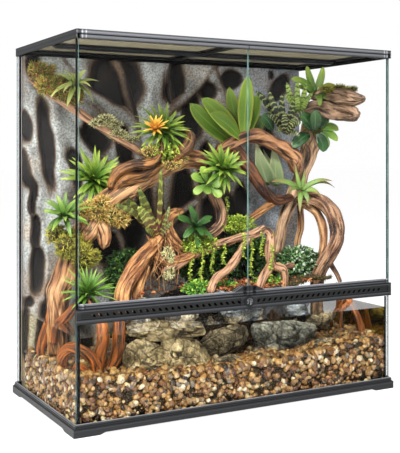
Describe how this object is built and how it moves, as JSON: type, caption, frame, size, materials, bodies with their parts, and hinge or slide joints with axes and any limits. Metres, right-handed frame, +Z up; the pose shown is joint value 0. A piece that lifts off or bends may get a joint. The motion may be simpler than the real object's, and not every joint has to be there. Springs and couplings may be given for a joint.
{
  "type": "reptile terrarium",
  "caption": "Front-opening glass terrarium with a water compartment, two hinged doors, a lock, lift-out screen lids and a planted driftwood landscape.",
  "frame": {"origin": "centre of the footprint on the surface that the feet stand on", "axes": "+X to the right seen from the doors, the doors face -Y, +Z up"},
  "size_m": [0.919, 0.461, 0.915],
  "materials": {
    "dark_plastic": "satin moulded charcoal plastic",
    "black_plastic": "satin black plastic",
    "clear_glass": "polished float glass with a faint green edge",
    "black_silicone": "soft black silicone",
    "chromed_metal": "polished chrome",
    "plain_steel": "plain bright steel",
    "screen_wire": "fine woven wire cloth",
    "moulded_foam": "painted moulded rock relief",
    "river_gravel": "mixed wet pebbles",
    "soil": "dark damp soil and fibre",
    "rock": "water-worn grey and tan rock",
    "driftwood": "weathered driftwood",
    "pale_wood": "pale peeled branches",
    "wet_wood": "wet orange-brown roots",
    "moss": "dry olive and straw moss",
    "grey_green_leaf": "dull grey-green leaf",
    "lime_leaf": "bright lime leaf",
    "green_leaf": "mid green leaf",
    "dark_leaf": "dark green leaf",
    "red_leaf": "dark red and olive leaf",
    "striped_leaf": "cream and dark green banded leaf"
  },
  "bodies": {
    "root": {"base_frame": "dark_plastic", "floor_glass": "clear_glass", "back_glass": "clear_glass", "left_glass": "clear_glass", "right_glass": "clear_glass", "front_glass": "clear_glass", "silicone_seams": "black_silicone", "vent_strip": "dark_plastic", "lock_housing": "black_plastic", "top_frame": "dark_plastic", "foam_background": "moulded_foam", "gravel_bed": "river_gravel", "land_bank": "soil", "grey_boulder": "rock", "middle_boulder": "rock", "left_boulder": "rock", "flat_slab": "rock", "small_stones": "rock", "left_driftwood": "driftwood", "arch_driftwood": "driftwood", "tan_branches": "pale_wood", "trunk_driftwood": "driftwood", "top_driftwood": "driftwood", "loop_driftwood": "driftwood", "mossy_branch": "driftwood", "left_roots": "wet_wood", "right_roots": "wet_wood", "moss_patches": "moss", "air_plant": "grey_green_leaf", "lime_rosette": "lime_leaf", "leafy_plants": "green_leaf", "grass_plants": "green_leaf", "shrubs": "dark_leaf", "red_bromeliad": "red_leaf", "flowering_bromeliad": "lime_leaf", "broadleaf_plant": "green_leaf", "centre_rosettes": "lime_leaf", "trailing_vines": "lime_leaf", "striped_bromeliads": "striped_leaf", "top_plants": "green_leaf"},
    "left_door": {"left_door_glass": "clear_glass", "left_door_top_rail": "dark_plastic", "left_door_bottom_rail": "dark_plastic", "left_hinge_pins": "plain_steel"},
    "right_door": {"right_door_glass": "clear_glass", "right_door_top_rail": "dark_plastic", "right_door_bottom_rail": "dark_plastic", "right_hinge_pins": "plain_steel"},
    "lock": {"lock_cylinder": "chromed_metal", "lock_cam": "plain_steel"},
    "left_screen": {"left_screen_frame": "dark_plastic", "left_screen_mesh": "screen_wire"},
    "right_screen": {"right_screen_frame": "dark_plastic", "right_screen_mesh": "screen_wire"},
    "left_front_clip": {"left_front_clip": "black_plastic"},
    "left_rear_clip": {"left_rear_clip": "black_plastic"},
    "right_front_clip": {"right_front_clip": "black_plastic"},
    "right_rear_clip": {"right_rear_clip": "black_plastic"},
    "left_inlet_slider": {"left_inlet_slider": "black_plastic"},
    "right_inlet_slider": {"right_inlet_slider": "black_plastic"}
  },
  "joints": [
    {"name": "left_door_hinge", "type": "hinge", "parent": "root", "child": "left_door", "pos_m": [-0.44, -0.221, 0.595], "axis": [0, 0, -1], "range_deg": [0, 115]},
    {"name": "right_door_hinge", "type": "hinge", "parent": "root", "child": "right_door", "pos_m": [0.44, -0.221, 0.595], "axis": [0, 0, 1], "range_deg": [0, 115]},
    {"name": "lock_turn", "type": "hinge", "parent": "root", "child": "lock", "pos_m": [0, -0.2214, 0.27], "axis": [0, -1, 0], "range_deg": [0, 90]},
    {"name": "left_screen_lift", "type": "slide", "parent": "root", "child": "left_screen", "axis": [0, 0, 1], "range_m": [0, 0.08]},
    {"name": "right_screen_lift", "type": "slide", "parent": "root", "child": "right_screen", "axis": [0, 0, 1], "range_m": [0, 0.08]},
    {"name": "left_front_clip_slide", "type": "slide", "parent": "root", "child": "left_front_clip", "axis": [0, 1, 0], "range_m": [0, 0.008]},
    {"name": "left_rear_clip_slide", "type": "slide", "parent": "root", "child": "left_rear_clip", "axis": [0, -1, 0], "range_m": [0, 0.008]},
    {"name": "right_front_clip_slide", "type": "slide", "parent": "root", "child": "right_front_clip", "axis": [0, 1, 0], "range_m": [0, 0.008]},
    {"name": "right_rear_clip_slide", "type": "slide", "parent": "root", "child": "right_rear_clip", "axis": [0, -1, 0], "range_m": [0, 0.008]},
    {"name": "left_inlet_slide", "type": "slide", "parent": "root", "child": "left_inlet_slider", "axis": [1, 0, 0], "range_m": [0, 0.034]},
    {"name": "right_inlet_slide", "type": "slide", "parent": "root", "child": "right_inlet_slider", "axis": [1, 0, 0], "range_m": [0, 0.034]}
  ]
}
